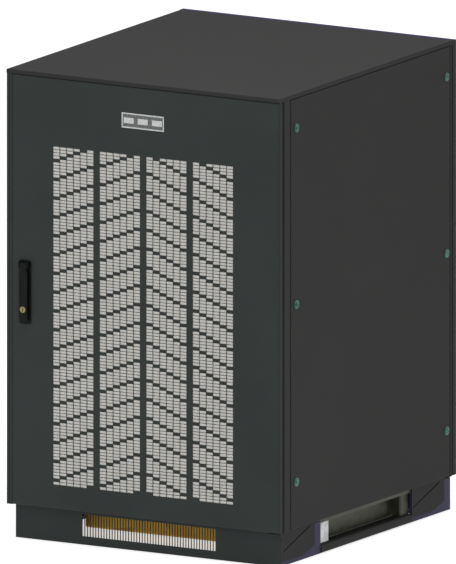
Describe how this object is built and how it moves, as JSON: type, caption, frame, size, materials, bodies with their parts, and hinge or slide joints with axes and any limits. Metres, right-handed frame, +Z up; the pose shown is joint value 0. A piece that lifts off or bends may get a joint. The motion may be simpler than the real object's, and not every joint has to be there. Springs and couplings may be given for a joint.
{
  "type": "automatic transfer switch",
  "caption": "Floor-standing transfer switch cabinet with a ventilated hinged door, swing handle, slotted plinth and a geared two-source switch inside.",
  "frame": {"origin": "on the floor, at the centre of the four floor anchor holes", "axes": "+Z up, +Y towards the rear panel, +X to the right seen from the door"},
  "size_m": [0.6072, 0.6882, 0.912],
  "materials": {
    "dark_paint": "fine-textured dark grey powder coat",
    "door_paint": "fine-textured dark grey powder coat",
    "navy_paint": "satin navy powder coat",
    "galvanised": "galvanised sheet",
    "yellow_zinc": "yellow-passivated zinc",
    "olive_zinc": "olive-drab passivated zinc",
    "teal_zinc": "blue-green passivated zinc",
    "steel": "bright machined steel",
    "copper": "plain copper",
    "moulded_resin": "moulded thermoset resin",
    "barrier_board": "pressed insulating board",
    "red_plastic": "moulded red plastic",
    "green_plastic": "moulded green plastic",
    "yellow_plastic": "moulded yellow plastic",
    "motor_grey": "painted cast housing",
    "breaker_case": "moulded case",
    "black_plastic": "glass-filled nylon",
    "handle_black": "satin black die cast",
    "control_grey": "moulded grey plastic",
    "core_steel": "varnished laminations",
    "terminal_plastic": "moulded nylon",
    "filter_fibre": "needled fibre mat",
    "gasket_rubber": "foamed rubber",
    "badge_silver": "brushed plate",
    "lock_brass": "brass plug"
  },
  "bodies": {
    "cabinet": {"plinth_front_skirt": "door_paint", "plinth_rear_skirt": "dark_paint", "plinth_side_plates": "dark_paint", "plinth_corner_brackets": "navy_paint", "plinth_inner_members": "olive_zinc", "plinth_stiffeners": "galvanised", "base_zinc_members": "yellow_zinc", "bottom_frame": "dark_paint", "gland_plate": "galvanised", "cable_glands": "black_plastic", "top_frame": "dark_paint", "front_posts": "dark_paint", "rear_posts": "dark_paint", "left_side_panel": "dark_paint", "right_side_panel": "dark_paint", "panel_screws": "teal_zinc", "top_cover": "dark_paint", "rear_panel": "dark_paint", "hinge_brackets": "dark_paint", "latch_keepers": "galvanised", "plate_rails": "galvanised", "mounting_plate": "galvanised", "switch_base": "moulded_resin", "switch_end_plates": "steel", "source_1_contacts": "copper", "source_2_contacts": "copper", "load_contacts": "copper", "phase_barriers": "barrier_board", "gear_motor": "motor_grey", "source_1_breaker": "breaker_case", "source_2_breaker": "breaker_case", "controller": "control_grey", "control_transformer": "core_steel", "din_rail": "galvanised", "control_relays": "control_grey", "terminal_blocks": "terminal_plastic", "exhaust_fan_frame": "black_plastic", "fan_guard": "steel"},
    "door": {"door_skin": "door_paint", "door_frame": "door_paint", "filter_mat": "filter_fibre", "filter_frame": "galvanised", "door_gasket": "gasket_rubber", "door_badge": "badge_silver", "handle_dish": "handle_black"},
    "handle_turn": {"handle_spindle": "handle_black"},
    "handle_lift": {"handle_lever": "handle_black"},
    "lock": {"lock_cylinder": "lock_brass"},
    "upper_rod": {"upper_latch_rod": "steel"},
    "lower_rod": {"lower_latch_rod": "steel"},
    "switch_rotor": {"switch_shaft": "steel", "moving_contacts": "copper", "sector_gear": "steel", "manual_handle": "red_plastic"},
    "pinion": {"motor_pinion": "steel"},
    "source_1_switch": {"source_1_toggle": "black_plastic"},
    "source_2_switch": {"source_2_toggle": "black_plastic"},
    "transfer_key": {"transfer_button": "green_plastic"},
    "test_key": {"test_button": "yellow_plastic"},
    "fan": {"fan_rotor": "black_plastic"}
  },
  "joints": [
    {"name": "door_swing", "type": "hinge", "parent": "cabinet", "child": "door", "pos_m": [0.293, -0.3295, 0.486], "axis": [0, 0, 1], "range_deg": [0, 120]},
    {"name": "handle_turning", "type": "hinge", "parent": "door", "child": "handle_turn", "pos_m": [-0.2584, -0.3375, 0.528], "axis": [0, -1, 0], "range_deg": [0, 90]},
    {"name": "handle_lifting", "type": "hinge", "parent": "handle_turn", "child": "handle_lift", "pos_m": [-0.2584, -0.3443, 0.538], "axis": [-1, 0, 0], "range_deg": [0, 35]},
    {"name": "lock_turning", "type": "hinge", "parent": "handle_lift", "child": "lock", "pos_m": [-0.2584, -0.3443, 0.45], "axis": [0, -1, 0], "range_deg": [0, 90]},
    {"name": "upper_rod_sliding", "type": "slide", "parent": "door", "child": "upper_rod", "axis": [0, 0, -1], "range_m": [0, 0.0091]},
    {"name": "lower_rod_sliding", "type": "slide", "parent": "door", "child": "lower_rod", "axis": [0, 0, 1], "range_m": [0, 0.0091]},
    {"name": "transfer", "type": "hinge", "parent": "cabinet", "child": "switch_rotor", "pos_m": [0, 0.11, 0.545], "axis": [1, 0, 0], "range_deg": [0, 60]},
    {"name": "pinion_turning", "type": "hinge", "parent": "cabinet", "child": "pinion", "pos_m": [0.166, 0.11, 0.473], "axis": [1, 0, 0], "range_deg": [-182, 2]},
    {"name": "source_1_toggling", "type": "hinge", "parent": "cabinet", "child": "source_1_switch", "pos_m": [-0.1825, 0.136, 0.78], "axis": [1, 0, 0], "range_deg": [0, 40]},
    {"name": "source_2_toggling", "type": "hinge", "parent": "cabinet", "child": "source_2_switch", "pos_m": [0.1825, 0.136, 0.78], "axis": [1, 0, 0], "range_deg": [0, 40]},
    {"name": "transfer_pressing", "type": "slide", "parent": "cabinet", "child": "transfer_key", "axis": [0, 1, 0], "range_m": [0, 0.002], "stiffness_N_per_m": 300},
    {"name": "test_pressing", "type": "slide", "parent": "cabinet", "child": "test_key", "axis": [0, 1, 0], "range_m": [0, 0.002], "stiffness_N_per_m": 300},
    {"name": "fan_spin", "type": "hinge", "parent": "cabinet", "child": "fan", "pos_m": [0, 0.31, 0.768], "axis": [0, 1, 0], "continuous": true}
  ],
  "couplings": [
    {"joint": "upper_rod_sliding", "follows": "handle_turning", "m_per_rad": 0.00573},
    {"joint": "lower_rod_sliding", "follows": "handle_turning", "m_per_rad": 0.00573},
    {"joint": "pinion_turning", "follows": "transfer", "ratio": -3}
  ]
}
